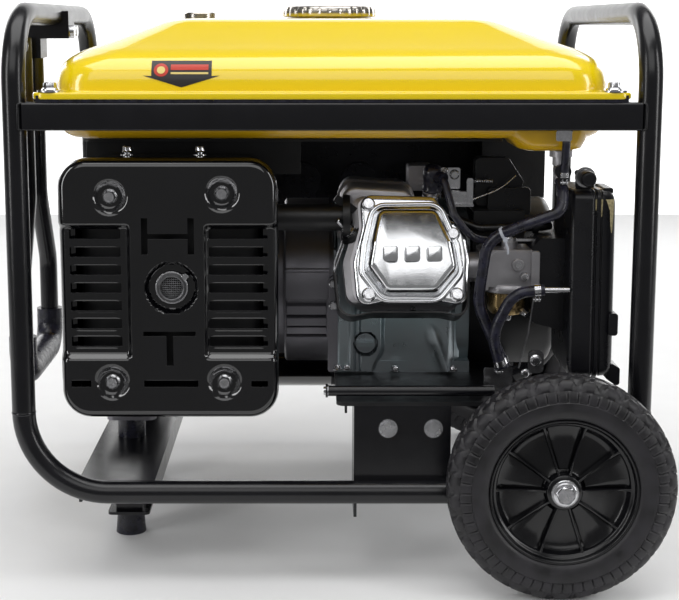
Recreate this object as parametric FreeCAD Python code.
import FreeCAD, Part
import os
import math

# Portable petrol generator set, millimetres, +Z up, +X towards the wheels, near side is -Y.
# Origin: middle of the footprint on the floor.

os.makedirs("parts", exist_ok=True)
V = FreeCAD.Vector

# ---- driving dimensions -------------------------------------------------
TUBE_D = 22.4            # frame tube outside diameter
TUBE_WALL = 1.8
FRAME_L = 592.0          # centre to centre of the uprights, along X
FRAME_W = 450.0          # centre to centre of the uprights, along Y
FRAME_TOP = 559.0        # top of the upper cross tubes
BASE_Z = 89.0            # centre line of the base rails
BEND_BASE = 80.0         # centre line radius of the base bends
BEND_TOP = 65.0          # centre line radius of the upper bends
WHEEL_R = 108.0
WHEEL_W = 50.0
WHEEL_GAP = 1.8          # frame tube to tyre side
AXLE_X = 216.0
AXLE_R = 5.0
HANDLE_D = 20.0
HANDLE_GAP = 8.8         # handle arm to upright
GRIP_D = 29.0
CRANK_Z = 258.0
CYL_X = 79.0             # cylinder axis
CYL_TILT = 19.0          # degrees above level
BORE = 68.0
RAIL_H = 26.0            # tank rail section
RAIL_D = 22.0
RAIL_Z = 440.5
GUARD_Z = 423.5           # engine heat guard under the tank
GUARD_T = 3.0
LOW_Z = 430.0             # tank floor
SEAL_T = 6.5             # rubber strip between rail and tank flange
TANK_T = 2.0
SHIELD_X0 = -260.0
SHIELD_X1 = -51.0
SHIELD_Z0 = 161.0
SHIELD_Z1 = 413.0
FIT = 0.05               # running fit, radial
GAP = 1.0                # general clearance between moving pieces

# ---- derived ------------------------------------------------------------
R = TUBE_D / 2.0
RI = R - TUBE_WALL
FX = FRAME_L / 2.0
FY = FRAME_W / 2.0
TOP_Z = FRAME_TOP - R
JOIN_Z = BASE_Z + BEND_BASE
HX = -(FX + R + HANDLE_GAP + HANDLE_D / 2.0)
LEFT_END = HX - GRIP_D / 2.0
RIGHT_END = AXLE_X + WHEEL_R
SHIFT = -(LEFT_END + RIGHT_END) / 2.0
WHEEL_Y = FY + R + WHEEL_GAP + WHEEL_W / 2.0
RAIL_Y1 = FY + R - 0.2
RAIL_Y0 = RAIL_Y1 - RAIL_D
RAIL_TOP = RAIL_Z + RAIL_H
FLANGE_Z = RAIL_TOP + SEAL_T
PIVOT_Z = TOP_Z - 33.0
TILT = math.radians(CYL_TILT)


# ---- helpers ------------------------------------------------------------
def box(x0, x1, y0, y1, z0, z1):
    return Part.makeBox(x1 - x0, y1 - y0, z1 - z0, V(x0, y0, z0))


def cyl(axis, x, y, z, r, length):
    d = {"x": V(1, 0, 0), "y": V(0, 1, 0), "z": V(0, 0, 1)}[axis]
    return Part.makeCylinder(r, length, V(x, y, z), d)


def ring(axis, x, y, z, ro, ri, length):
    return cyl(axis, x, y, z, ro, length).cut(cyl(axis, x, y, z, ri, length))


def group(*shapes):
    return Part.makeCompound(list(shapes))


def fuse(*shapes):
    out = shapes[0]
    for s in shapes[1:]:
        out = out.fuse(s)
    return out.removeSplitter()


def cut(base, *tools):
    for t in tools:
        base = base.cut(t)
    return base


def path(pts, radii):
    """Straight runs joined by tangent arcs."""
    edges = []
    here = pts[0]
    for i in range(1, len(pts) - 1):
        a = (pts[i - 1] - pts[i]).normalize()
        b = (pts[i + 1] - pts[i]).normalize()
        half = a.getAngle(b) / 2.0
        t = radii[i - 1] / math.tan(half)
        p0 = pts[i] + a * t
        p1 = pts[i] + b * t
        mid_dir = (a + b).normalize()
        centre = pts[i] + mid_dir * (radii[i - 1] / math.sin(half))
        mid = centre - mid_dir * radii[i - 1]
        if (p0 - here).Length > 1e-4:
            edges.append(Part.LineSegment(here, p0).toShape())
        edges.append(Part.Arc(p0, mid, p1).toShape())
        here = p1
    if (pts[-1] - here).Length > 1e-4:
        edges.append(Part.LineSegment(here, pts[-1]).toShape())
    return Part.Wire(edges)


def rod(pts, radii, r):
    wire = path(pts, radii)
    d = (pts[1] - pts[0]).normalize()
    prof = Part.Wire([Part.Circle(pts[0], d, r).toShape()])
    s = wire.makePipeShell([prof], True, False)
    if s.Volume < 0:
        s.reverse()
    return s


def tube(pts, radii, ro, ri):
    return rod(pts, radii, ro).cut(rod(pts, radii, ri))


def rrect(x0, x1, y0, y1, z, r):
    """Rounded rectangle wire at height z."""
    k = r * (1.0 - math.sqrt(0.5))
    c = [V(x0 + r, y0, z), V(x1 - r, y0, z), V(x1, y0 + r, z), V(x1, y1 - r, z),
         V(x1 - r, y1, z), V(x0 + r, y1, z), V(x0, y1 - r, z), V(x0, y0 + r, z)]
    m = [V(x1 - k, y0 + k, z), V(x1 - k, y1 - k, z), V(x0 + k, y1 - k, z), V(x0 + k, y0 + k, z)]
    e = []
    for i in range(4):
        e.append(Part.LineSegment(c[2 * i], c[2 * i + 1]).toShape())
        e.append(Part.Arc(c[2 * i + 1], m[i], c[(2 * i + 2) % 8]).toShape())
    return Part.Wire(e)


def rbox(x0, x1, y0, y1, z0, z1, r):
    return Part.Face(rrect(x0, x1, y0, y1, z0, r)).extrude(V(0, 0, z1 - z0))


def upright(x0, x1, z0, z1, y0, y1, r):
    """Box with rounded corners seen along Y."""
    s = rbox(x0, x1, -z1, -z0, y0, y1, r)
    s.rotate(V(0, 0, 0), V(1, 0, 0), -90)
    return s


def turned(shape):
    """Cylinder frame (x, across, outward) to the machine frame."""
    s = shape.copy()
    s.rotate(V(0, 0, 0), V(1, 0, 0), 90.0 - CYL_TILT)
    s.translate(V(0, 0, CRANK_Z))
    return s


def bolt(p, d, r, length, head=0.62):
    """Flange bolt: seat point p, shank along d."""
    d = V(d).normalize()
    hexr = r * 1.9
    washer = Part.makeCylinder(r * 2.3, r * 0.4, p, d * -1)
    seat = p - d * (r * 0.4)
    pts = []
    side = V(0, 0, 1)
    if abs(d.z) > 0.9:
        side = V(1, 0, 0)
    for i in range(7):
        rot = FreeCAD.Rotation(d, 60.0 * (i % 6))
        pts.append(seat + rot.multVec(side) * hexr)
    hexa = Part.Face(Part.makePolygon(pts)).extrude(d * (-r * 2 * head))
    shank = Part.makeCylinder(r, length, p, d)
    return fuse(washer, hexa, shank)


def hole(p, d, r, length):
    return Part.makeCylinder(r, length, p, V(d))


def loft(wires):
    return Part.makeLoft(wires, True, True)


nodes = {}


def mirror_y(s):
    return s.mirror(V(0, 0, 0), V(0, 1, 0))


# ---- frame --------------------------------------------------------------
def hoop(side):
    x = side * FX
    pts = [V(x, -FY, JOIN_Z), V(x, -FY, TOP_Z), V(x, FY, TOP_Z), V(x, FY, JOIN_Z)]
    return tube(pts, [BEND_TOP, BEND_TOP], R, RI)


def base_rail(side):
    y = side * FY
    pts = [V(-FX, y, JOIN_Z), V(-FX, y, BASE_Z), V(FX, y, BASE_Z), V(FX, y, JOIN_Z)]
    return tube(pts, [BEND_BASE, BEND_BASE], R, RI)


def rail_solid(side):
    y = side * FY
    pts = [V(-FX, y, JOIN_Z), V(-FX, y, BASE_Z), V(FX, y, BASE_Z), V(FX, y, JOIN_Z)]
    return rod(pts, [BEND_BASE, BEND_BASE], R)


nodes["hoop_left"] = hoop(-1)
nodes["hoop_right"] = hoop(1)

# axle bracket: upstand welded on the base rail, bushed for the axle bolt
BUSH_Y0 = RAIL_Y0 - 6.0
BUSH_Y1 = FY + R + 0.8


def axle_bracket():
    plate = box(AXLE_X - 24, AXLE_X + 24, -FY - 3, -FY + 3, BASE_Z, WHEEL_R + 20)
    plate = plate.makeFillet(14, [e for e in plate.Edges if abs(e.Length - 6) < 0.01
                                  and e.CenterOfMass.z > WHEEL_R])
    bush = cyl("y", AXLE_X, -BUSH_Y1, WHEEL_R, 9.0, BUSH_Y1 - BUSH_Y0)
    s = fuse(plate, bush)
    s = cut(s, rail_solid(-1), hole(V(AXLE_X, -BUSH_Y1, WHEEL_R), (0, 1, 0), AXLE_R, 60))
    return max(s.Solids, key=lambda a: a.Volume)


bracket_near = axle_bracket()
nodes["base_rail_near"] = fuse(base_rail(-1), bracket_near)
nodes["base_rail_far"] = fuse(base_rail(1), mirror_y(bracket_near))


def tank_rail():
    s = box(-FX, FX, -RAIL_Y1, -RAIL_Y0, RAIL_Z, RAIL_TOP)
    s = s.cut(box(-FX, FX, -RAIL_Y1 + 2, -RAIL_Y0 - 2, RAIL_Z + 2, RAIL_TOP - 2))
    for side in (-1, 1):
        s = s.cut(cyl("z", side * FX, -FY, RAIL_Z - 5, R, RAIL_H + 10))
    s = s.common(box(-FX - 1, FX + 1, -RAIL_Y1, -RAIL_Y0, 0, FRAME_TOP))
    keep = [a for a in s.Solids if a.Volume > 5000]
    return keep[0]


def tank_guard():
    """Sheet hung on four pads from the tank's floor, over the hot engine."""
    s = box(-246, 236, -150, 150, GUARD_Z, GUARD_Z + GUARD_T)
    for x in (-200, 140):
        for y in (-90, 90):
            s = s.fuse(cyl("z", x, y, GUARD_Z + GUARD_T - 1, 14, LOW_Z - GUARD_Z - GUARD_T + 1))
    s = s.cut(box(170, 248, -212, -100, GUARD_Z - 1, GUARD_Z + 20))
    return s.removeSplitter()


rail_near = tank_rail()
nodes["tank_rails"] = group(rail_near, mirror_y(rail_near), tank_guard())

# rear cross member, a channel between the base rails, with the two legs under it
CH_X0 = -245.6
CH_X1 = -171.3
CH_T = 3.0
CH_TOP = BASE_Z + R
LEG_X = -213.0
LEG_Y = 90.0
FOOT_H = 24.0


def cross_member():
    s = box(CH_X0, CH_X1, -FY + 2, FY - 2, CH_TOP - 22, CH_TOP)
    s = s.cut(box(CH_X0 + CH_T, CH_X1 - CH_T, -FY, FY, CH_TOP - 30, CH_TOP - CH_T))
    for side in (-1, 1):
        s = s.cut(rail_solid(side))
        leg = box(LEG_X - 14, LEG_X + 14, side * LEG_Y - 12, side * LEG_Y + 12,
                  FOOT_H + 3, CH_TOP - CH_T)
        leg = leg.cut(box(LEG_X - 12, LEG_X + 12, side * LEG_Y - 10, side * LEG_Y + 10,
                          FOOT_H + 3, CH_TOP - CH_T))
        plate = rbox(LEG_X - 22, LEG_X + 22, side * LEG_Y - 20, side * LEG_Y + 20,
                     FOOT_H, FOOT_H + 3, 5)
        s = fuse(s, leg, plate)
    return max(s.Solids, key=lambda a: a.Volume)


nodes["cross_member"] = cross_member()

# engine bed: bridge plate on two side panels
BED_TOP = 177.0
BED_T = 4.0
BED_X0 = 5.0
BED_X1 = 190.0
PAN_Y = 215.0
PAN_T = 3.0
PAN_X0 = 22.0
PAN_X1 = 116.0
PAN_BOLTS = (55.0, 99.0)
PAN_BOLT_Z = 151.0


def engine_bed():
    y1 = PAN_Y + PAN_T
    s = rbox(BED_X0, BED_X1, -y1, y1, BED_TOP - BED_T, BED_TOP, 8)
    s = s.cut(rbox(BED_X0 + 40, BED_X1 - 50, -80, 80, BED_TOP - 9, BED_TOP + 5, 20))
    for side in (-1, 1):
        y0 = min(side * PAN_Y, side * (PAN_Y - PAN_T))
        lip = box(PAN_X0, PAN_X1, y0, y0 + PAN_T, PAN_BOLT_Z - 14, BED_TOP - BED_T)
        s = fuse(s, lip)
        for bx in PAN_BOLTS:
            s = s.cut(hole(V(bx, y0 - 5, PAN_BOLT_Z), (0, 1, 0), 4, 20))
    return s


nodes["engine_bed"] = engine_bed()


def side_panel():
    s = box(PAN_X0, PAN_X1, -PAN_Y - PAN_T, -PAN_Y, BASE_Z + 2, BED_TOP - BED_T)
    s = s.cut(rail_solid(-1))
    foot = box(PAN_X0, PAN_X0 + 3, -PAN_Y, -PAN_Y + 60, 60, BED_TOP - BED_T)
    foot = foot.cut(rail_solid(-1)).cut(box(0, 300, -PAN_Y, -PAN_Y + 4, PAN_BOLT_Z - 14, 200))
    s = fuse(s, foot)
    for bx in PAN_BOLTS:
        s = s.cut(hole(V(bx, -PAN_Y - 8, PAN_BOLT_Z), (0, 1, 0), 4, 20))
    return max(s.Solids, key=lambda a: a.Volume)


panel_near = side_panel()
nodes["side_panels"] = group(panel_near, mirror_y(panel_near))

# rubber pieces: two mounts under the alternator foot, two floor feet, two tank strips
MOUNT_Y = 70.0
MOUNT_H = 22.0
rubber = []
for side in (-1, 1):
    m = cyl("z", LEG_X, side * MOUNT_Y, CH_TOP, 15, MOUNT_H)
    m = m.makeFillet(3, [m.Edges[0]])
    rubber.append(m)
    f = Part.makeCone(16, 14, FOOT_H, V(LEG_X, side * LEG_Y, 0), V(0, 0, 1))
    rubber.append(f)
    a = min(side * RAIL_Y1, side * RAIL_Y0) + 2
    rubber.append(box(-FX + 22, FX - 22, a, a + RAIL_D - 4, RAIL_TOP, FLANGE_Z))
nodes["rubber_parts"] = group(*rubber)

# ---- fold handle --------------------------------------------------------
BRK_W = 18.0             # half width of the clamp bracket
ARM_Y = 31.0
ARM_LOW_Y = 77.0
GRIP_Z = 168.0
PIN_R = 5.0


def handle_bracket():
    blk = box(HX - 9.5, -FX - R - 2.0, -BRK_W, BRK_W, PIVOT_Z - 13, TOP_Z + 4)
    tail = box(-FX - R - 2.0, -FX + R + 6, -BRK_W, BRK_W, TOP_Z - R - 14, TOP_Z - R + 5)
    back = box(-FX + R - 1, -FX + R + 6, -BRK_W, BRK_W, TOP_Z - R - 14, TOP_Z + 4)
    fill = box(-FX - R - 2.0, -FX - R + 4, -BRK_W, BRK_W, TOP_Z - R, TOP_Z + 4)
    s = fuse(blk, tail, back, fill)
    s = s.cut(cyl("y", -FX, -BRK_W - 5, TOP_Z, R, 2 * BRK_W + 10))
    s = s.cut(cyl("y", HX, -BRK_W - 5, PIVOT_Z, PIN_R, 2 * BRK_W + 10))
    for y in (-9, 9):
        s = s.cut(hole(V(HX - 20, y, TOP_Z - R - 6), (1, 0, 0), 3, 80))
    return max(s.Solids, key=lambda a: a.Volume)


nodes["handle_bracket"] = handle_bracket()


def fold_handle():
    r = HANDLE_D / 2.0
    pts = [V(HX, -ARM_Y, PIVOT_Z + 9), V(HX, -ARM_Y, 350), V(HX, -ARM_LOW_Y, 270),
           V(HX, -ARM_LOW_Y, GRIP_Z), V(HX, ARM_LOW_Y, GRIP_Z), V(HX, ARM_LOW_Y, 270),
           V(HX, ARM_Y, 350), V(HX, ARM_Y, PIVOT_Z + 9)]
    s = tube(pts, [40, 40, 28, 28, 40, 40], r, r - 1.8)
    for side in (-1, 1):
        plug = cyl("y", HX, side * ARM_Y - r, PIVOT_Z, 9.2, 2 * r)
        plug = plug.common(cyl("z", HX, side * ARM_Y, PIVOT_Z - 9, r, 18))
        s = fuse(s, plug)
    return s.cut(cyl("y", HX, -60, PIVOT_Z, PIN_R + FIT, 120))


nodes["fold_handle"] = fold_handle()


def handle_sleeve():
    r = HANDLE_D / 2.0
    pts = [V(HX, -ARM_LOW_Y, GRIP_Z + 42), V(HX, -ARM_LOW_Y, GRIP_Z),
           V(HX, ARM_LOW_Y, GRIP_Z), V(HX, ARM_LOW_Y, GRIP_Z + 42)]
    return tube(pts, [28, 28], GRIP_D / 2.0, r)


nodes["handle_sleeve"] = handle_sleeve()

# ---- wheels -------------------------------------------------------------
RIM_R = 74.0


def wheel():
    y = -WHEEL_Y
    hw = WHEEL_W / 2.0
    half = [(RIM_R, hw - 7), (RIM_R + 4, hw - 2), (WHEEL_R - 12, hw), (WHEEL_R - 4, hw - 3),
            (WHEEL_R, hw - 10), (WHEEL_R, 8), (WHEEL_R - 3.5, 7), (WHEEL_R - 3.5, 5.5),
            (WHEEL_R, 4.5)]
    prof = [V(r, y - a, 0) for r, a in half] + [V(r, y + a, 0) for r, a in reversed(half)]
    tyre = Part.Face(Part.makePolygon(prof + prof[:1])).revolve(V(0, 0, 0), V(0, 1, 0), 360)
    rim = ring("y", 0, y - hw + 6, 0, RIM_R, RIM_R - 5, 2 * hw - 12)
    web = ring("y", 0, y - hw + 12, 0, RIM_R - 2, 16, 5)
    hub = ring("y", 0, y - hw + 4, 0, 19, AXLE_R + FIT, 2 * hw - 4.5)
    rim = fuse(rim, web, hub)
    for i in range(10):
        rib = box(-1.8, 1.8, y - hw + 8, y + hw - 8, 17, RIM_R - 3)
        rib.rotate(V(0, 0, 0), V(0, 1, 0), i * 36.0)
        rim = rim.fuse(rib)
    rim = rim.removeSplitter()
    out = []
    for s in (tyre, rim):
        s.translate(V(AXLE_X, 0, WHEEL_R))
        out.append(s)
    return out


tyre_near, rim_near = wheel()
nodes["wheel_near_tyre"] = tyre_near
nodes["wheel_near_rim"] = rim_near
nodes["wheel_far_tyre"] = mirror_y(tyre_near)
nodes["wheel_far_rim"] = mirror_y(rim_near)

# axle bolts: head and washer outside the hub
AX_SEAT = WHEEL_Y + WHEEL_W / 2.0 - 4.0 + 0.6


def axle_bolt():
    p = V(AXLE_X, -AX_SEAT, WHEEL_R)
    length = AX_SEAT - BUSH_Y0 + 12
    s = bolt(p, V(0, 1, 0), AXLE_R, length)
    s = fuse(s, cyl("y", AXLE_X, -AX_SEAT - 2, WHEEL_R, 13, 2))
    nut = cyl("y", AXLE_X, -BUSH_Y0, WHEEL_R, 9, 8)
    return fuse(s, nut)


ax_near = axle_bolt()
nodes["axle_bolts"] = group(ax_near, mirror_y(ax_near))

# ---- fuel tank ----------------------------------------------------------
FL_X = FX - R - 5.8
FL_Y = RAIL_Y1
TANK_TOP = 543.0
NECK_R = 38.0


def tank_wires(off):
    # half length, half width, height
    spec = [(266.0, 224.0, FLANGE_Z + 3), (264.0, 222.0, 486.0), (255.0, 214.0, 500.0),
            (222.0, 196.0, 518.0), (192.0, 178.0, 529.0), (150.0, 150.0, 539.5),
            (128.0, 132.0, TANK_TOP)]
    out = []
    for i, (a, b, z) in enumerate(spec):
        rr = min(46.0, b * 0.3)
        out.append(rrect(-a + off, a - off, -b + off, b - off, z - off * (i > 0), rr))
    return out


def tank_upper():
    s = loft(tank_wires(0.0))
    flange = rbox(-FL_X, FL_X, -FL_Y, FL_Y, FLANGE_Z, FLANGE_Z + 3, 40)
    s = s.fuse(flange)
    s = s.cut(loft(tank_wires(TANK_T)))
    s = s.cut(rbox(-264, 264, -222, 222, FLANGE_Z - 1, FLANGE_Z + 3, 44))
    s = s.cut(cyl("z", 0, 0, 500, NECK_R, 60))
    s = s.cut(cyl("z", GAUGE_X, 0, 500, 12, 60))
    neck = ring("z", 0, 0, TANK_TOP - 22, NECK_R, NECK_R - 2, 24)
    s = fuse(s, neck)
    for sx in (-1, 1):
        for sy in (-1, 1):
            s = s.cut(cyl("z", sx * TB_X, sy * TB_Y, FLANGE_Z - 2, 3, 10))
    return max(s.Solids, key=lambda a: a.Volume)


GAUGE_X = -139.0
TB_X = 262.0
TB_Y = FY
nodes["tank_upper"] = tank_upper()

LOW_X = 264.0
LOW_Y = 208.0


def tank_lower():
    outer = rbox(-LOW_X, LOW_X, -LOW_Y, LOW_Y, LOW_Z, FLANGE_Z, 40)
    outer = outer.makeFillet(12, [e for e in outer.Edges
                                  if abs(e.BoundBox.ZMax - LOW_Z) < 0.01])
    inner = rbox(-LOW_X + 2, LOW_X - 2, -LOW_Y + 2, LOW_Y - 2, LOW_Z + 2, FLANGE_Z + 1, 38)
    inner = inner.makeFillet(10, [e for e in inner.Edges
                                  if abs(e.BoundBox.ZMax - LOW_Z - 2) < 0.01])
    sump = rbox(178, 240, -LOW_Y + 4, -110, 418, LOW_Z + 6, 12)
    sump_in = rbox(180, 238, -LOW_Y + 6, -112, 420, LOW_Z + 8, 10)
    s = cut(fuse(outer, sump), inner, sump_in)
    lip = rbox(-264, 264, -222, 222, FLANGE_Z, FLANGE_Z + 2, 44)
    lip = lip.cut(rbox(-LOW_X + 2, LOW_X - 2, -LOW_Y + 2, LOW_Y - 2, 400, 500, 38))
    return fuse(s, lip)


nodes["tank_lower"] = tank_lower()

gauge = fuse(ring("z", GAUGE_X, 0, TANK_TOP, 18, 14.5, 7.5), cyl("z", GAUGE_X, 0, TANK_TOP, 15, 5),
             cyl("z", GAUGE_X, 0, TANK_TOP - 60, 2, 62))
gauge = fuse(gauge, box(GAUGE_X - 30, GAUGE_X + 2, -8, 8, TANK_TOP - 66, TANK_TOP - 58),
             cyl("z", GAUGE_X, 0, TANK_TOP - 6, 11.8, 6))
nodes["fuel_gauge"] = gauge


def fuel_cap():
    z0 = TANK_TOP + 2.6
    s = cyl("z", 0, 0, z0, 50.5, 11.6)
    s = s.makeFillet(3.5, [e for e in s.Edges if e.BoundBox.ZMin > z0 + 11])
    for i in range(24):
        g = cyl("z", 51.6, 0, z0 - 1, 1.6, 9)
        g.rotate(V(0, 0, 0), V(0, 0, 1), i * 15.0)
        s = s.cut(g)
    s = fuse(s, cyl("z", 0, 0, z0 - 14, NECK_R - 2.5, 14.5))
    s = s.cut(cyl("z", 0, 0, z0 - 15, NECK_R - 5, 15))
    return s


nodes["fuel_cap"] = fuel_cap()

# petcock under the sump, lever facing -Y
PET = V(221.0, -186.0, 0)


def petcock():
    s = fuse(cyl("z", PET.x, PET.y, 404, 8, 14), cyl("z", PET.x, PET.y, 386, 6, 20),
             cyl("z", PET.x, PET.y, 374, 3.4, 14), cyl("z", PET.x, PET.y, 412, 11, 6))
    s = fuse(s, cyl("y", PET.x, PET.y - 12, 399, 7, 14))
    return s.cut(cyl("y", PET.x, PET.y - 14, 399, 3 + FIT, 10))


nodes["petcock"] = petcock()
lever = fuse(cyl("y", PET.x, PET.y - 18, 399, 7.5, 5.5), cyl("y", PET.x, PET.y - 14, 399, 3, 9))
lever = fuse(lever, box(PET.x - 3.5, PET.x + 3.5, PET.y - 18, PET.y - 13.5, 377, 399))
nodes["fuel_valve_lever"] = lever

# fuel hose from the petcock and breather hose from the air box, both into a filter block
HOSE_R = 5.4
FILTER = (160.0, 186.0)


def hoses():
    y1 = PET.y
    y2 = -201.0
    a = [V(PET.x, y1, 382), V(PET.x, y1, 366), V(143, y1, 338), V(143, y1, 268), V(174, y1, 196)]
    one = tube(a, [12, 36, 50], HOSE_R, 3.4)
    b = [V(214, y2, 284), V(172, y2, 284), V(156, y2, 240), V(167, y2, 196)]
    two = tube(b, [20, 40], HOSE_R, 3.4)
    return one, two, a, b


hose_one, hose_two, ha, hb = hoses()
nodes["fuel_hoses"] = group(hose_one, hose_two)
blk = box(FILTER[0], FILTER[1], -212, -176, BED_TOP, 188)
for p, q in ((ha[-1], ha[-2]), (hb[-1], hb[-2])):
    d = (q - p).normalize()
    blk = fuse(blk, Part.makeCylinder(3.4, 24, p - d * 12, d))

clamps = []
for p, d in ((V(PET.x, PET.y, 374), V(0, 0, 1)), (V(208, -201, 284), V(1, 0, 0))):
    c = Part.makeCylinder(HOSE_R + 1.4, 5, p, d).cut(Part.makeCylinder(HOSE_R, 5, p, d))
    clamps.append(c)

# ---- engine -------------------------------------------------------------
CASE_X0 = 8.0
CASE_X1 = 146.0
SHAFT_R = 15.0


def crankcase():
    s = rbox(-92, 102, -(CRANK_Z + 82), -(BED_TOP), CASE_X0, CASE_X1, 34)
    s.rotate(V(0, 0, 0), V(1, 0, 0), -90)
    s.rotate(V(0, 0, 0), V(0, 0, 1), 90)
    bb = s.BoundBox
    s.translate(V(CASE_X0 - bb.XMin, -92 - bb.YMin, 0))
    base = box(CASE_X0 - 2, CASE_X1, -100, 108, BED_TOP, BED_TOP + 12)
    s = fuse(s, base)
    inner = box(CASE_X0 + 9, CASE_X1 - 9, -82, 92, BED_TOP + 10, CRANK_Z + 70)
    s = cut(s, inner, cyl("x", CASE_X0 - 20, 0, CRANK_Z, SHAFT_R + FIT, 300))
    s = s.cut(turned(cyl("z", CYL_X, 0, 40, BORE / 2.0 + 8, 80)))
    s = s.cut(cyl("y", CASE_X0 + 29, -120, BED_TOP + 32, 8, 40))
    for i in range(5):
        rib = box(CASE_X0 + 14 + i * 26, CASE_X0 + 18 + i * 26, -98, -92, BED_TOP + 10, 240)
        s = s.fuse(rib)
    return s.removeSplitter()


crank_case = crankcase()


def cylinder():
    core = cyl("z", CYL_X, 0, 78, BORE / 2.0 + 8, 52)
    plate = box(CYL_X - 52, CYL_X + 52, -46, 46, 125, 131)
    s = core.fuse(plate)
    for i in range(4):
        z = 92 + i * 8.5
        s = s.fuse(rbox(CYL_X - 56, CYL_X + 54, -50, 50, z, z + 2.4, 14))
    s = s.cut(cyl("z", CYL_X, 0, 60, BORE / 2.0, 90))
    s = turned(s.removeSplitter())
    s = s.cut(box(0, 200, -92, 102, 150, CRANK_Z + 82))
    return max(s.Solids, key=lambda a: a.Volume)


crank_case = crank_case.cut(turned(cyl("z", CYL_X, 0, 40, BORE / 2.0 + 8, 90)))
cyl_shape = cylinder()
nodes["crankcase"] = max(crank_case.cut(cyl_shape).Solids, key=lambda a: a.Volume)
nodes["cylinder"] = cyl_shape


def head():
    s = rbox(CYL_X - 54, CYL_X + 52, -50, 50, 131, 139, 12)
    s = s.fuse(rbox(CYL_X - 48, CYL_X + 46, -46, 46, 139, 176, 14))
    for i in range(3):
        z = 145 + i * 8.5
        s = s.fuse(rbox(CYL_X - 56, CYL_X + 54, -52, 60, z, z + 2.6, 12))
    s = s.fuse(rbox(CYL_X - 58, CYL_X + 54, -54, 58, 172, 178, 12))
    s = s.fuse(box(CYL_X - 60, CYL_X - 40, 18, 58, 147, 178))
    s = s.removeSplitter()
    s = s.cut(box(CYL_X - 30, CYL_X + 30, -30, 30, 160, 179))
    s = s.cut(cyl("z", CYL_X, 0, 130, 30, 8))
    s = turned(s)
    return s


EX_Y = -142.0
EX_Z = 347.0
EX_R = 13.5
head_shape = head()
flange_cut = cyl("x", -10, EX_Y, EX_Z, EX_R + 12, CYL_X - 60 + 10)
head_shape = head_shape.cut(flange_cut)
nodes["cylinder_head"] = max(head_shape.Solids, key=lambda a: a.Volume)

VC_BOLTS = ((-42, 47), (-42, -43), (44, -43), (41, 17))
VC_U = 178.0


def cover_outline(z, grow):
    pts = [(-56, -56), (54, -56), (54, 26), (34, 58), (-56, 60)]
    w = Part.makePolygon([V(CYL_X + x, y, z) for x, y in pts + pts[:1]])
    return w


def valve_cover():
    fl = Part.Face(cover_outline(VC_U, 0)).extrude(V(0, 0, 3))
    base = [(-40, -38), (40, -38), (46, -16), (36, 12), (28, 38), (-32, 38), (-40, 12), (-44, -16)]
    top = [(-31, -31), (31, -31), (37, -14), (29, 12), (22, 31), (-25, 31), (-32, 12), (-36, -14)]
    w0 = Part.makePolygon([V(CYL_X + x, y, VC_U) for x, y in base + base[:1]])
    w1 = Part.makePolygon([V(CYL_X + x, y, VC_U + 24) for x, y in base + base[:1]])
    w2 = Part.makePolygon([V(CYL_X + x, y, VC_U + 31) for x, y in top + top[:1]])
    dome = Part.makeLoft([w0, w1], True, True).fuse(Part.makeLoft([w1, w2], True, True))
    s = fuse(fl, dome)
    inner = Part.makePolygon([V(CYL_X + x * 0.93, y * 0.93, VC_U) for x, y in base + base[:1]])
    s = s.cut(Part.Face(inner).extrude(V(0, 0, 23)))
    for i in range(3):
        s = s.fuse(box(CYL_X - 16 + i * 14, CYL_X - 10 + i * 14, -12, 10, VC_U + 30, VC_U + 32.4))
    return turned(s.removeSplitter())


nodes["valve_cover"] = valve_cover()

vcb = []
for x, v in VC_BOLTS:
    vcb.append(turned(bolt(V(CYL_X + x, v, VC_U + 3), V(0, 0, -1), 3.0, 14)))
cover_cut = group(*vcb)
nodes["valve_cover"] = nodes["valve_cover"].cut(cover_cut)
nodes["cylinder_head"] = nodes["cylinder_head"].cut(cover_cut)

# crankshaft with the flywheel side to the right
crank = cyl("x", -190, 0, CRANK_Z, SHAFT_R, 370)
crank = crank.cut(box(CYL_X - 9, CYL_X + 9, -SHAFT_R - 1, SHAFT_R + 1, CRANK_Z - 16, CRANK_Z + 16))
web_a = box(CYL_X - 19, CYL_X - 9, -17, 17, CRANK_Z - 40, CRANK_Z + 34)
web_b = box(CYL_X + 9, CYL_X + 19, -17, 17, CRANK_Z - 40, CRANK_Z + 34)
pin = cyl("x", CYL_X - 10, 0, CRANK_Z + 19, 11, 20)
nodes["crankshaft"] = fuse(crank, web_a, web_b, pin)

# flywheel with cooling fan on the shaft end
FW_X0 = 152.0
fw = fuse(ring("x", FW_X0, 0, CRANK_Z, 80, SHAFT_R, 18), ring("x", FW_X0 + 18, 0, CRANK_Z, 32, 27, 22))
for i in range(16):
    blade = box(FW_X0 + 17, FW_X0 + 36, -1.2, 1.2, CRANK_Z + 50, CRANK_Z + 79)
    blade.rotate(V(0, 0, CRANK_Z), V(1, 0, 0), i * 22.5)
    fw = fw.fuse(blade)
nodes["flywheel_fan"] = fw.removeSplitter()
nodes["crankshaft"] = nodes["crankshaft"].cut(nodes["flywheel_fan"])

BLOW_R = 98.0
BLOW_X1 = 206.0


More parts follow.
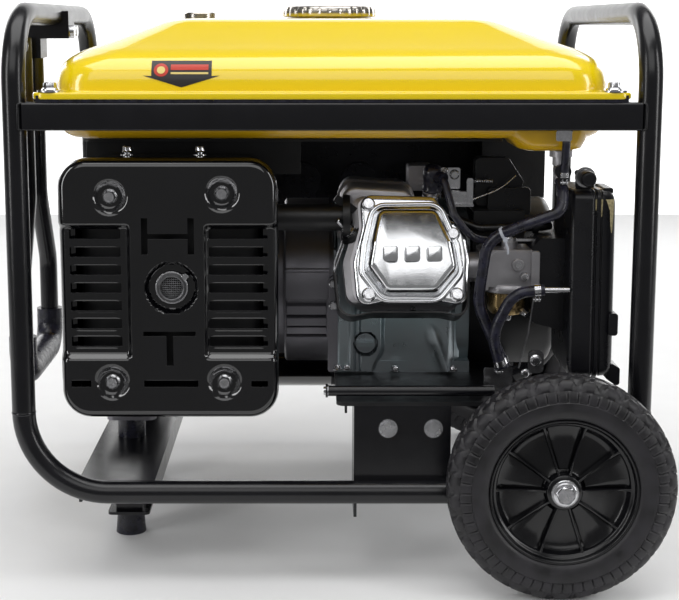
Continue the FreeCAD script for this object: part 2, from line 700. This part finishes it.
def blower():
    shell = ring("x", CASE_X1, 0, CRANK_Z, BLOW_R, BLOW_R - 2, BLOW_X1 - CASE_X1)
    front = ring("x", BLOW_X1 - 2, 0, CRANK_Z, BLOW_R, 72, 2)
    back = ring("x", CASE_X1, 0, CRANK_Z, BLOW_R, 22, 2)
    s = fuse(shell, front, back)
    duct = box(CASE_X1 - 0, BLOW_X1 - 8, -118, -80, CRANK_Z + 10, CRANK_Z + 92)
    duct_in = box(CASE_X1 - 4, BLOW_X1 - 10, -116, -60, CRANK_Z + 12, CRANK_Z + 90)
    s = s.fuse(duct).cut(duct_in.cut(cyl("x", 0, 0, CRANK_Z, BLOW_R - 2, 400)))
    s = s.cut(cyl("x", CASE_X1 + 2, 0, CRANK_Z, BLOW_R - 2, BLOW_X1 - CASE_X1 - 4))
    s = s.cut(box(0, 400, -300, 300, 0, BED_TOP))
    return max(s.removeSplitter().Solids, key=lambda a: a.Volume)


nodes["blower_housing"] = blower()

REC_X1 = 240.0
ROPE_R = 2.2
PUL_R = 34.0


def recoil_cover():
    s = cyl("x", BLOW_X1, 0, CRANK_Z, 92, REC_X1 - BLOW_X1)
    s = s.makeFillet(10, [e for e in s.Edges if abs(e.CenterOfMass.x - REC_X1) < 0.1
                          and e.Length > 100])
    inner = cyl("x", BLOW_X1 - 5, 0, CRANK_Z, 88, REC_X1 - BLOW_X1 + 3)
    s = s.cut(inner)
    for i in range(18):
        slot = box(REC_X1 - 6, REC_X1 + 2, -3, 3, CRANK_Z + 46, CRANK_Z + 78)
        slot.rotate(V(0, 0, CRANK_Z), V(1, 0, 0), i * 20.0)
        s = s.cut(slot)
    s = s.fuse(cyl("x", REC_X1 - 16, 0, CRANK_Z, 7, 15))
    s = s.cut(cyl("y", REC_X1 - 15, 50, CRANK_Z + PUL_R + ROPE_R, 4.5, 60))
    return max(s.removeSplitter().Solids, key=lambda a: a.Volume)


nodes["recoil_cover"] = recoil_cover()
pulley = ring("x", REC_X1 - 21, 0, CRANK_Z, 40, 7 + FIT, 12)
pulley = pulley.cut(ring("x", REC_X1 - 18, 0, CRANK_Z, 41, PUL_R, 6))
nodes["recoil_pulley"] = pulley

# T grip beside the recoil cover, the rope stub runs into the eyelet
GRIP_X = REC_X1 - 15
ROPE_Z = CRANK_Z + PUL_R + ROPE_R
EYE_Y = math.sqrt(92.0 ** 2 - (PUL_R + ROPE_R) ** 2)
grip = cyl("z", GRIP_X, EYE_Y + 24, ROPE_Z - 30, 8.5, 60)
grip = grip.makeFillet(3, grip.Edges[:1])
grip = fuse(grip, Part.makeCone(5.5, 7.5, 16, V(GRIP_X, EYE_Y + 7, ROPE_Z), V(0, 1, 0)))
grip = fuse(grip, cyl("y", GRIP_X, EYE_Y - 26, ROPE_Z, ROPE_R, 40))
nodes["recoil_grip"] = grip

# spark plug, cap and lead
SP = (CYL_X + 20, 30, 160)


def plug_shape():
    s = cyl("z", 0, 0, 0, 7, 14)
    s = fuse(s, cyl("z", 0, 0, 10, 10, 8), cyl("z", 0, 0, 18, 5.5, 20))
    return s


sp_base = V(102.0, -122.0, 372.0)
plug = plug_shape()
plug.rotate(V(0, 0, 0), V(1, 0, 0), 20)
plug.translate(sp_base)
plug = plug.cut(nodes["cylinder_head"])
nodes["spark_plug"] = max(plug.Solids, key=lambda a: a.Volume)
cap_dir = FreeCAD.Rotation(V(1, 0, 0), 20).multVec(V(0, 0, 1))
cap_p = sp_base + cap_dir * 19
boot = Part.makeCylinder(10, 21, cap_p, cap_dir).cut(nodes["spark_plug"])
lead_start = cap_p + cap_dir * 13
lead = rod([lead_start, V(124, -156, 390), V(138, -168, 330), V(170, -140, 326),
            V(170, -118, 326)], [12, 14, 10], 3.6)
nodes["plug_cap_lead"] = fuse(boot, lead.cut(nodes["spark_plug"]))

# ---- carburettor and air box --------------------------------------------
CARB_Y = -150.0
CARB_Z = 298.0
AIR_X0 = 230.0


def carb():
    s = box(156, 200, CARB_Y - 22, CARB_Y + 18, CARB_Z - 18, CARB_Z + 17)
    s = s.makeFillet(4, [e for e in s.Edges if abs(e.Length - 44) < 0.01])
    s = fuse(s, cyl("x", 132, CARB_Y, CARB_Z, 15, 26), cyl("x", 198, CARB_Y, CARB_Z, 19, AIR_X0 - 198))
    s = fuse(s, box(149, 156, CARB_Y - 26, CARB_Y + 26, CARB_Z - 15, CARB_Z + 15))
    s = fuse(s, box(200, 206, CARB_Y - 26, CARB_Y + 22, CARB_Z - 19, CARB_Z + 17))
    s = cut(s, cyl("x", 120, CARB_Y, CARB_Z, 11, 130), nodes["cylinder_head"])
    s = fuse(s, cyl("z", 178, CARB_Y - 4, CARB_Z + 14, 8, 12))
    s = s.cut(cyl("x", 120, CARB_Y, CARB_Z, 11, 130))
    s = s.cut(cyl("z", 178, CARB_Y - 4, CARB_Z + 15, 3 + FIT, 14))
    return max(s.Solids, key=lambda a: a.Volume)


nodes["carburettor"] = carb()
bowl = cyl("z", 176, CARB_Y - 3, CARB_Z - 42, 19.5, 24)
bowl = bowl.makeFillet(4, [e for e in bowl.Edges if abs(e.CenterOfMass.z - CARB_Z + 42) < 0.1
                           and e.Length > 100])
bowl = fuse(bowl, cyl("z", 176, CARB_Y - 3, CARB_Z - 47, 5, 6))
nodes["float_bowl"] = bowl

# governor arm on the throttle shaft
arm = fuse(cyl("z", 178, CARB_Y - 4, CARB_Z + 16, 3, 20), cyl("z", 178, CARB_Y - 4, CARB_Z + 27, 7, 3))
arm = fuse(arm, box(178, AIR_X0 - 8, CARB_Y - 8, CARB_Y, CARB_Z + 27, CARB_Z + 29.5))
nodes["governor_arm"] = arm

AIR_X1 = AIR_X0 + 44.0
AIR_Y0 = -206.0
AIR_Y1 = -102.0
AIR_Z0 = 198.0
AIR_Z1 = 380.0


def air_box():
    s = box(AIR_X0, AIR_X1, AIR_Y0, AIR_Y1, AIR_Z0, AIR_Z1)
    s = s.makeFillet(7, [e for e in s.Edges if abs(e.CenterOfMass.x - AIR_X1) < 0.1])
    inner = box(AIR_X0 + 2.5, AIR_X1 - 2.5, AIR_Y0 + 2.5, AIR_Y1 - 2.5, AIR_Z0 + 2.5, AIR_Z1 - 2.5)
    s = cut(s, inner, cyl("x", AIR_X0 - 5, CARB_Y, CARB_Z, 11, 9))
    s = s.fuse(ring("x", 202, -201, 284, 3.4, 2.0, AIR_X0 - 201))
    rib = box(AIR_X0 + 10, AIR_X0 + 12.5, AIR_Y0 - 1.5, AIR_Y1 + 1.5, AIR_Z0 - 1.5, AIR_Z1 + 1.5)
    rib = rib.cut(box(AIR_X0, AIR_X1, AIR_Y0 + 2, AIR_Y1 - 2, AIR_Z0 + 2, AIR_Z1 - 2))
    return s.fuse(rib).removeSplitter()


nodes["air_box"] = air_box()
elem = rbox(AIR_X0 + 16, AIR_X1 - 2.5, AIR_Y0 + 6, AIR_Y1 - 6, AIR_Z0 + 8, AIR_Z1 - 8, 4)
nodes["air_filter_element"] = elem

# choke knob on its pull rod, out of a small bracket on top of the air box
CH_X = 247.0
CH_Y = -176.0
CH_Z = AIR_Z1 + 11.0
CH_R = 7.5
tab = box(CH_X - 9, CH_X + 9, CH_Y, CH_Y + 3, AIR_Z1 - 1, CH_Z + CH_R)
tab = fuse(tab, box(CH_X - 9, CH_X + 9, CH_Y, CH_Y + 26, AIR_Z1 - 1, AIR_Z1 + 3))
tab = tab.cut(cyl("y", CH_X, CH_Y - 5, CH_Z, 3 + FIT, 12))
nodes["air_box"] = fuse(nodes["air_box"], tab)
knob = cyl("y", CH_X, CH_Y - 22, CH_Z, CH_R, 19)
knob = knob.makeFillet(3, [e for e in knob.Edges if e.CenterOfMass.y < CH_Y - 21])
knob = fuse(knob, cyl("y", CH_X, CH_Y - 4, CH_Z, 3, 44))
nodes["choke_knob"] = knob

# dipstick at the foot of the crankcase
DIP = V(CASE_X0 + 29, -92, BED_TOP + 32)
dip = fuse(cyl("y", DIP.x, DIP.y - 12, DIP.z, 10.4, 11.5),
           cyl("y", DIP.x, DIP.y - 1, DIP.z, 8 - FIT, 9))
dip = fuse(dip, box(DIP.x - 9, DIP.x + 9, DIP.y - 20, DIP.y - 11, DIP.z - 2.5, DIP.z + 2.5))
nodes["dipstick"] = dip

# ---- exhaust ------------------------------------------------------------
EX_X1 = CYL_X - 60
pipe = ring("x", -63, EX_Y, EX_Z, EX_R, EX_R - 2, EX_X1 + 63)
pipe = fuse(pipe, ring("x", EX_X1 - 7, EX_Y, EX_Z, EX_R + 9, EX_R - 2, 7))
nodes["exhaust_pipe"] = pipe

MUF = (-247.0, -63.0, 176.0, 399.0, -200.0, -108.0)
OUT_X = -152.6
OUT_Z = 286.7


def muffler():
    x0, x1, z0, z1, y0, y1 = MUF
    s = upright(x0, x1, z0, z1, y0, y1, 26)
    s = s.makeFillet(8, [e for e in s.Edges if abs(e.BoundBox.YMax - e.BoundBox.YMin) < 0.01])
    inner = upright(x0 + 2, x1 - 2, z0 + 2, z1 - 2, y0 + 2, y1 - 2, 24)
    inner = inner.makeFillet(6, [e for e in inner.Edges
                                 if abs(e.BoundBox.YMax - e.BoundBox.YMin) < 0.01])
    s = s.cut(inner)
    s = s.cut(cyl("x", x1 - 10, EX_Y, EX_Z, EX_R - 2, 20))
    s = s.cut(cyl("y", OUT_X, y0 - 5, OUT_Z, 13.5, 12))
    return s


nodes["muffler_can"] = muffler()
SH_Y0 = -222.0
SH_Y1 = -204.0
SHIELD_BOLTS = ((-210, 377), (-104, 380), (-211, 197), (-103, 197))


def heat_shield():
    t = 1.5
    s = upright(SHIELD_X0, SHIELD_X1, SHIELD_Z0, SHIELD_Z1, SH_Y0, SH_Y1, 28)
    s = s.makeFillet(7, [e for e in s.Edges if abs(e.BoundBox.YMax - SH_Y0) < 0.01])
    inner = upright(SHIELD_X0 + t, SHIELD_X1 - t, SHIELD_Z0 + t, SHIELD_Z1 - t,
                    SH_Y0 + t, SH_Y1 + 1, 26.5)
    inner = inner.makeFillet(6, [e for e in inner.Edges
                                 if abs(e.BoundBox.YMax - (SH_Y0 + t)) < 0.01])
    s = s.cut(inner)
    s = s.cut(cyl("y", OUT_X, SH_Y0 - 5, OUT_Z, 23.5, 12))
    for xa, xb in ((-249, -202), (-116, -61)):
        for i in range(7):
            z = 337 - i * 17.7
            s = s.cut(upright(xa + 3, xb - 3, z - 3.5, z + 3.5, SH_Y0 - 3, SH_Y0 + 5, 3.4))
    for xa, xb, z in ((-248, -228, 197), (-180, -128, 197), (-78, -60, 197),
                      (-176, -130, 344), (-176, -130, 232)):
        s = s.cut(upright(xa, xb, z - 3.5, z + 3.5, SH_Y0 - 3, SH_Y0 + 5, 3.4))
    for bx, bz in SHIELD_BOLTS:
        pad = cyl("y", bx, SH_Y0 + 0.8, bz, 11, -SH_Y0 + MUF[4] - 0.8)
        s = s.cut(cyl("y", bx, SH_Y0 - 1, bz, 10, 1.8)).fuse(pad)
        s = s.cut(cyl("y", bx, SH_Y0 - 5, bz, 3, 60))
    return s.removeSplitter()


nodes["heat_shield"] = heat_shield()
m6 = list(vcb)
for bx, bz in SHIELD_BOLTS:
    m6.append(bolt(V(bx, SH_Y0 + 0.8, bz), V(0, 1, 0), 3.0, -SH_Y0 + MUF[4] + 1.0))
arr = fuse(ring("y", OUT_X, MUF[4] - 13, OUT_Z, 13.5, 10, 20),
           ring("y", OUT_X, MUF[4] - 6, OUT_Z, 22.5, 12, 6))
nodes["spark_arrestor"] = arr
for i, b in enumerate(m6[4:]):
    nodes["muffler_can"] = nodes["muffler_can"].cut(b)
nodes["muffler_can"] = nodes["muffler_can"].cut(arr)

# ---- alternator ---------------------------------------------------------
ST_R = 82.0
BORE_R = 56.0
ST_X0 = -160.0
ST_X1 = -48.0
stator = ring("x", ST_X0, 0, CRANK_Z, ST_R, BORE_R, ST_X1 - ST_X0)
for i in range(24):
    s_ = box(ST_X0 + 8, ST_X1 - 8, -1.5, 1.5, CRANK_Z + ST_R - 3, CRANK_Z + ST_R + 2)
    s_.rotate(V(0, 0, CRANK_Z), V(1, 0, 0), i * 15.0 + 7.5)
    stator = stator.cut(s_)
nodes["stator_core"] = stator
nodes["stator_windings"] = group(ring("x", ST_X0 - 22, 0, CRANK_Z, 74, 59, 22),
                                 ring("x", ST_X1, 0, CRANK_Z, 74, 59, 22))
rotor = ring("x", ST_X0 - 4, 0, CRANK_Z, BORE_R - GAP, SHAFT_R, ST_X1 - ST_X0 + 8)
nodes["rotor"] = rotor


def alt_front():
    s = ring("x", ST_X1, 0, CRANK_Z, 90, 80, CASE_X0 - 2 - ST_X1)
    s = s.fuse(ring("x", CASE_X0 - 8, 0, CRANK_Z, 90, SHAFT_R + 6, 6))
    s = s.cut(box(-300, 300, -200, 200, 0, BED_TOP))
    for i in range(20):
        a = i * 18.0
        g = box(ST_X1 + 10, CASE_X0 - 14, -4, 4, CRANK_Z + 70, CRANK_Z + 100)
        g.rotate(V(0, 0, CRANK_Z), V(1, 0, 0), a)
        s = s.cut(g)
    return max(s.removeSplitter().Solids, key=lambda a: a.Volume)


nodes["alternator_front"] = alt_front()
AR_X0 = -212.0


def alt_rear():
    s = ring("x", AR_X0, 0, CRANK_Z, 88, 80, ST_X0 - AR_X0)
    s = s.fuse(ring("x", AR_X0, 0, CRANK_Z, 88, SHAFT_R + FIT, 6))
    s = s.fuse(ring("x", AR_X0, 0, CRANK_Z, 26, SHAFT_R + FIT, 24))
    for i in range(16):
        g = box(AR_X0 - 2, AR_X0 + 8, -4, 4, CRANK_Z + 36, CRANK_Z + 74)
        g.rotate(V(0, 0, CRANK_Z), V(1, 0, 0), i * 22.5)
        s = s.cut(g)
    fz = CH_TOP + MOUNT_H
    plate = rbox(LEG_X - 24, LEG_X + 28, -92, 92, fz, fz + 5, 8)
    for y in (-40, 34):
        leg = box(LEG_X + 4, LEG_X + 28, y, y + 6, fz, CRANK_Z - 50)
        leg = leg.cut(cyl("x", -400, 0, CRANK_Z, 86, 400))
        s = s.fuse(leg)
    s = s.fuse(plate)
    for side in (-1, 1):
        s = s.cut(cyl("z", LEG_X, side * MOUNT_Y, fz - 3, 4, 12))
    return max(s.removeSplitter().Solids, key=lambda a: a.Volume)


nodes["alternator_rear"] = alt_rear()

# muffler hangs from a strap over the alternator
mbr = fuse(box(-190, -170, MUF[5] - 0.5, MUF[5] + 3, 300, 334), box(-190, -170, MUF[5], -20, 334, 337))
mbr = fuse(mbr, box(-190, -170, -38, -20, CRANK_Z + 60, 337))
mbr = mbr.cut(cyl("x", -400, 0, CRANK_Z, 88, 800))
mbr = max(mbr.Solids, key=lambda a: a.Volume)
nodes["muffler_can"] = fuse(nodes["muffler_can"], mbr)

# ---- control panel on the far side --------------------------------------
CP = (-70.0, 205.0, 158.0, 226.0, 222.0, 428.0)


def panel_box():
    x0, x1, y0, y1, z0, z1 = CP
    s = upright(x0, x1, z0, z1, y0, y1, 12)
    s = s.makeFillet(4, [e for e in s.Edges if abs(e.BoundBox.YMin - y1) < 0.01])
    s = s.cut(upright(x0 + 2.5, x1 - 2.5, z0 + 2.5, z1 - 2.5, y0 - 1, y1 - 2.5, 10))
    for x in (x0 + 20, x1 - 40):
        s = s.fuse(box(x, x + 20, RAIL_Y0 - 3, RAIL_Y0, z1 - 20, RAIL_Z + 18))
    for p in PANEL_HOLES:
        s = s.cut(p)
    return s.removeSplitter()


OUTLET_AT = ((-30, 275), (-30, 345), (40, 275), (40, 345))
RK = V(110.0, 226.0, 350.0)
BRK_AT = ((100.0, 275.0), (130.0, 275.0))
PANEL_HOLES = []
for ox, oz in OUTLET_AT:
    PANEL_HOLES.append(cyl("y", ox, 215, oz, 22, 20))
PANEL_HOLES.append(box(RK.x - 11, RK.x + 11, 215, 240, RK.z - 17, RK.z + 17))
for bx, bz in BRK_AT:
    PANEL_HOLES.append(cyl("y", bx, 215, bz, 6, 20))
PANEL_HOLES.append(cyl("y", 165, 215, 330, 24, 20))
nodes["control_panel"] = panel_box()
outs = []
for ox, oz in OUTLET_AT:
    o = fuse(cyl("y", ox, 205, oz, 22, 21), cyl("y", ox, 226, oz, 25, 3))
    for k in range(3):
        a = math.radians(90 + 120 * k)
        o = o.cut(box(ox + 9 * math.cos(a) - 1.5, ox + 9 * math.cos(a) + 1.5, 222, 232,
                      oz + 9 * math.sin(a) - 3.5, oz + 9 * math.sin(a) + 3.5))
    outs.append(o)
meter = fuse(cyl("y", 165, 205, 330, 24, 21), ring("y", 165, 226, 330, 28, 22, 4))
outs.append(meter)
for bx, bz in BRK_AT:
    outs.append(fuse(ring("y", bx, 214, bz, 6, 4.5, 12), ring("y", bx, 226, bz, 8.5, 4.5, 2)))
rk = box(RK.x - 11, RK.x + 11, 206, 226, RK.z - 17, RK.z + 17)
rk = fuse(rk, box(RK.x - 13, RK.x + 13, 226, 228, RK.z - 19, RK.z + 19))
rk = rk.cut(box(RK.x - 8.5, RK.x + 8.5, 212, 230, RK.z - 14.5, RK.z + 14.5))
outs.append(rk)
nodes["panel_fittings"] = group(*outs)
rock = cyl("x", RK.x - 7.5, 222, RK.z, 10, 15).common(box(0, 300, 214, 240, 0, 600))
rock = rock.cut(cyl("x", RK.x - 8, 245, RK.z, 15, 16))
nodes["rocker_switch"] = rock
for k, (bx, bz) in enumerate(BRK_AT):
    nodes["breaker_button_%d" % (k + 1)] = fuse(cyl("y", bx, 216, bz, 3.8, 16), cyl("y", bx, 231, bz, 5, 2.5))

# ---- fasteners and clamps -----------------------------------------------
m8 = []
for side in (-1, 1):
    for bx in PAN_BOLTS:
        m8.append(bolt(V(bx, side * (PAN_Y + PAN_T), PAN_BOLT_Z), V(0, -side, 0), 4.0, 6.0))
    stud = cyl("z", LEG_X, side * MOUNT_Y, CH_TOP + MOUNT_H, 4, 16)
    nut = cyl("z", LEG_X, side * MOUNT_Y, CH_TOP + MOUNT_H + 5, 9, 6)
    m8.append(fuse(stud, nut))
nodes["engine_bolts"] = group(*m6)
tb = []
for sx in (-1, 1):
    for sy in (-1, 1):
        p = V(sx * TB_X, sy * TB_Y, FLANGE_Z + 4.5)
        b = fuse(bolt(p, V(0, 0, -1), 3.0, 12.0), cyl("z", p.x, p.y, FLANGE_Z + 3, 12, 1.5))
        tb.append(b)
for b in tb:
    rubber = [s.cut(b) for s in rubber]
rails = [s for s in nodes["tank_rails"].Solids]
for b in tb:
    rails = [s.cut(b) for s in rails]
nodes["tank_rails"] = group(*rails)
nodes["rubber_parts"] = group(*rubber)
hb_ = []
for y in (-9, 9):
    b = bolt(V(HX - 9.5, y, TOP_Z - R - 6), V(1, 0, 0), 3.0, 48.0)
    b = fuse(b, cyl("x", -FX + R + 6, y, TOP_Z - R - 6, 6, 5))
    hb_.append(b)
hb_.append(fuse(cyl("y", HX, -ARM_Y - 13, PIVOT_Z, PIN_R, 2 * ARM_Y + 26),
                ring("y", HX, -ARM_Y - 14.5, PIVOT_Z, 9, 0.5, 3),
                ring("y", HX, ARM_Y + 11.5, PIVOT_Z, 9, 0.5, 3)))
nodes["frame_bolts"] = group(*(m8 + tb + hb_))
nodes["fuel_fittings"] = group(blk, *clamps)

# ---- write --------------------------------------------------------------
for name in sorted(nodes):
    shape = nodes[name].copy()
    shape.translate(V(SHIFT, 0, 0))
    shape.exportStep("parts/%s.step" % name)
print(len(nodes), "nodes, shift", round(SHIFT, 3))
